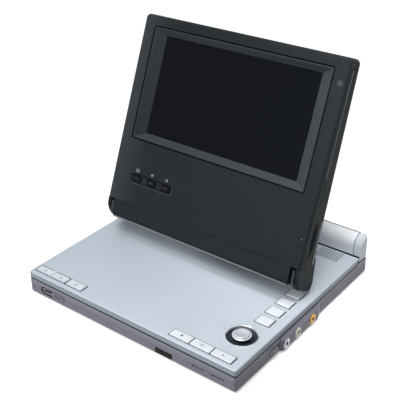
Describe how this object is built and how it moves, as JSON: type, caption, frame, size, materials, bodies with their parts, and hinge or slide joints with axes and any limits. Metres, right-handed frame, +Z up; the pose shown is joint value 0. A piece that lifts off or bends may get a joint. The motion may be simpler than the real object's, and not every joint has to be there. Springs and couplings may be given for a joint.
{
  "type": "portable disc player with folding screen",
  "caption": "Portable disc player: flat base with hinged deck and disc drive, rear bar, and a flat screen held up on a folding support arm.",
  "frame": {"origin": "on the floor under the middle of the base", "axes": "+X to the right along the front edge, +Y from the front edge to the rear bar, +Z up"},
  "size_m": [0.2171, 0.1985, 0.2075],
  "materials": {
    "case_grey": "satin moulded plastic",
    "deck_silver": "silver lacquer over plastic",
    "bar_silver": "silver lacquer over plastic",
    "key_silver": "silver lacquer",
    "well_grey": "fine grain",
    "charcoal": "satin moulded plastic",
    "bevel_black": "satin",
    "picture_glass": "glossy dark panel",
    "window_black": "glossy",
    "black_plastic": "matt",
    "wheel_grey": "satin",
    "control_silver": "silver lacquer",
    "trim_grey": "satin",
    "screen_key_grey": "satin",
    "rubber": "matt",
    "bumper_grey": "matt",
    "steel": "bright",
    "alloy": "bare",
    "board_green": "circuit board",
    "battery_wrap": "plastic sleeve",
    "hub_white": "satin",
    "lens": "coated lens",
    "jack_steel": "bright ring",
    "jack_cream": "moulded ring",
    "jack_yellow": "moulded ring"
  },
  "bodies": {
    "base": {"bottom_case": "case_grey", "disc_well": "well_grey", "rear_bar": "bar_silver", "bar_end_caps": "bar_silver", "ir_window": "window_black", "headphone_jack": "jack_steel", "audio_jack": "jack_cream", "video_jack": "jack_yellow", "dc_inlet": "black_plastic", "feet": "rubber", "case_screws": "steel", "main_board": "board_green", "battery_pack": "battery_wrap", "chassis_plate": "steel", "spindle_motor": "steel", "guide_rods": "steel", "feed_motor": "black_plastic", "hinge_brackets": "steel", "lid_hinge_pins": "steel", "lid_catch": "steel"},
    "spindle": {"turntable": "hub_white"},
    "feed_screw": {"feed_screw": "steel"},
    "sled": {"laser_sled": "black_plastic", "objective_lens": "lens"},
    "volume_wheel": {"volume_wheel": "wheel_grey"},
    "slide_switch": {"slide_knob": "control_silver"},
    "lid": {"deck_lid": "deck_silver", "lid_liner": "well_grey", "key_board": "board_green", "speakers": "black_plastic", "joystick_ring": "control_silver"},
    "joystick_dish": {"joystick_base": "black_plastic"},
    "joystick_gimbal": {"joystick_gimbal": "black_plastic"},
    "joystick_cap": {"joystick_cap": "control_silver"},
    "front_left_key_1": {"front_left_key_1": "key_silver"},
    "arm": {"arm_cover": "charcoal", "arm_frame": "steel", "arm_shafts": "steel"},
    "screen": {"screen_bezel": "charcoal", "bevel_frame": "bevel_black", "lower_strip": "charcoal", "lcd_panel": "picture_glass", "lcd_frame": "alloy", "rear_cover": "charcoal", "screen_board": "board_green", "card_socket": "black_plastic", "screen_trim": "trim_grey", "bumpers": "bumper_grey", "screen_hinge_brackets": "steel"},
    "front_left_key_2": {"front_left_key_2": "key_silver"},
    "front_right_key_1": {"front_right_key_1": "key_silver"},
    "front_right_key_2": {"front_right_key_2": "key_silver"},
    "front_right_key_3": {"front_right_key_3": "key_silver"},
    "side_key_1": {"side_key_1": "key_silver"},
    "side_key_2": {"side_key_2": "key_silver"},
    "side_key_3": {"side_key_3": "key_silver"},
    "side_key_4": {"side_key_4": "key_silver"},
    "screen_key_1": {"screen_key_1": "screen_key_grey"},
    "screen_key_2": {"screen_key_2": "screen_key_grey"},
    "screen_key_3": {"screen_key_3": "screen_key_grey"}
  },
  "joints": [
    {"name": "arm_hinge", "type": "hinge", "parent": "base", "child": "arm", "pos_m": [0, 0.092, 0.035], "axis": [-1, 0, 0], "range_deg": [0, 52]},
    {"name": "screen_hinge", "type": "hinge", "parent": "arm", "child": "screen", "pos_m": [0, 0.03849, 0.12618], "axis": [1, 0, 0], "range_deg": [-20, 38]},
    {"name": "lid_hinge", "type": "hinge", "parent": "base", "child": "lid", "pos_m": [0, 0.079, 0.0182], "axis": [-1, 0, 0], "range_deg": [0, 45]},
    {"name": "spindle_turn", "type": "hinge", "parent": "base", "child": "spindle", "pos_m": [-0.012, -0.007, 0.012], "axis": [0, 0, 1], "continuous": true},
    {"name": "sled_slide", "type": "slide", "parent": "base", "child": "sled", "axis": [1, 0, 0], "range_m": [0, 0.034]},
    {"name": "feed_screw_turn", "type": "hinge", "parent": "base", "child": "feed_screw", "pos_m": [0.02, -0.032, 0.0048], "axis": [1, 0, 0], "range_deg": [0, 3061]},
    {"name": "volume_turn", "type": "hinge", "parent": "base", "child": "volume_wheel", "pos_m": [0.1016, -0.0485, 0.0078], "axis": [0, 0, 1], "range_deg": [-135, 135]},
    {"name": "slide_switch_move", "type": "slide", "parent": "base", "child": "slide_switch", "axis": [1, 0, 0], "range_m": [-0.0125, 0]},
    {"name": "rocker_tilt", "type": "hinge", "parent": "lid", "child": "front_left_key_1", "pos_m": [-0.0865, -0.0907, 0.0191], "axis": [0, 1, 0], "range_deg": [-2, 2], "stiffness_Nm_per_rad": 0.05},
    {"name": "joystick_press", "type": "slide", "parent": "lid", "child": "joystick_dish", "axis": [0, 0, -1], "range_m": [0, 0.0004], "stiffness_N_per_m": 300, "springref_m": -0.001},
    {"name": "joystick_tilt_x", "type": "hinge", "parent": "joystick_dish", "child": "joystick_gimbal", "pos_m": [0.0874, -0.0633, 0.0198], "axis": [1, 0, 0], "range_deg": [-6, 6], "stiffness_Nm_per_rad": 0.02},
    {"name": "joystick_tilt_y", "type": "hinge", "parent": "joystick_gimbal", "child": "joystick_cap", "pos_m": [0.0874, -0.0633, 0.0198], "axis": [0, 1, 0], "range_deg": [-6, 6], "stiffness_Nm_per_rad": 0.02},
    {"name": "front_left_key_2_press", "type": "slide", "parent": "lid", "child": "front_left_key_2", "axis": [0, 0, -1], "range_m": [0, 0.0005], "stiffness_N_per_m": 300, "springref_m": -0.001},
    {"name": "front_right_key_1_press", "type": "slide", "parent": "lid", "child": "front_right_key_1", "axis": [0, 0, -1], "range_m": [0, 0.0005], "stiffness_N_per_m": 300, "springref_m": -0.001},
    {"name": "front_right_key_2_press", "type": "slide", "parent": "lid", "child": "front_right_key_2", "axis": [0, 0, -1], "range_m": [0, 0.0005], "stiffness_N_per_m": 300, "springref_m": -0.001},
    {"name": "front_right_key_3_press", "type": "slide", "parent": "lid", "child": "front_right_key_3", "axis": [0, 0, -1], "range_m": [0, 0.0005], "stiffness_N_per_m": 300, "springref_m": -0.001},
    {"name": "side_key_1_press", "type": "slide", "parent": "lid", "child": "side_key_1", "axis": [0, 0, -1], "range_m": [0, 0.0005], "stiffness_N_per_m": 300, "springref_m": -0.001},
    {"name": "side_key_2_press", "type": "slide", "parent": "lid", "child": "side_key_2", "axis": [0, 0, -1], "range_m": [0, 0.0005], "stiffness_N_per_m": 300, "springref_m": -0.001},
    {"name": "side_key_3_press", "type": "slide", "parent": "lid", "child": "side_key_3", "axis": [0, 0, -1], "range_m": [0, 0.0005], "stiffness_N_per_m": 300, "springref_m": -0.001},
    {"name": "side_key_4_press", "type": "slide", "parent": "lid", "child": "side_key_4", "axis": [0, 0, -1], "range_m": [0, 0.0005], "stiffness_N_per_m": 300, "springref_m": -0.001},
    {"name": "screen_key_1_press", "type": "slide", "parent": "screen", "child": "screen_key_1", "axis": [0, 0.9272, -0.3746], "range_m": [0, 0.0005], "stiffness_N_per_m": 300, "springref_m": -0.001},
    {"name": "screen_key_2_press", "type": "slide", "parent": "screen", "child": "screen_key_2", "axis": [0, 0.9272, -0.3746], "range_m": [0, 0.0005], "stiffness_N_per_m": 300, "springref_m": -0.001},
    {"name": "screen_key_3_press", "type": "slide", "parent": "screen", "child": "screen_key_3", "axis": [0, 0.9272, -0.3746], "range_m": [0, 0.0005], "stiffness_N_per_m": 300, "springref_m": -0.001}
  ],
  "couplings": [
    {"joint": "lid_hinge", "follows": "arm_hinge", "ratio": 0.865},
    {"joint": "feed_screw_turn", "follows": "sled_slide", "rad_per_m": 1570.8}
  ]
}
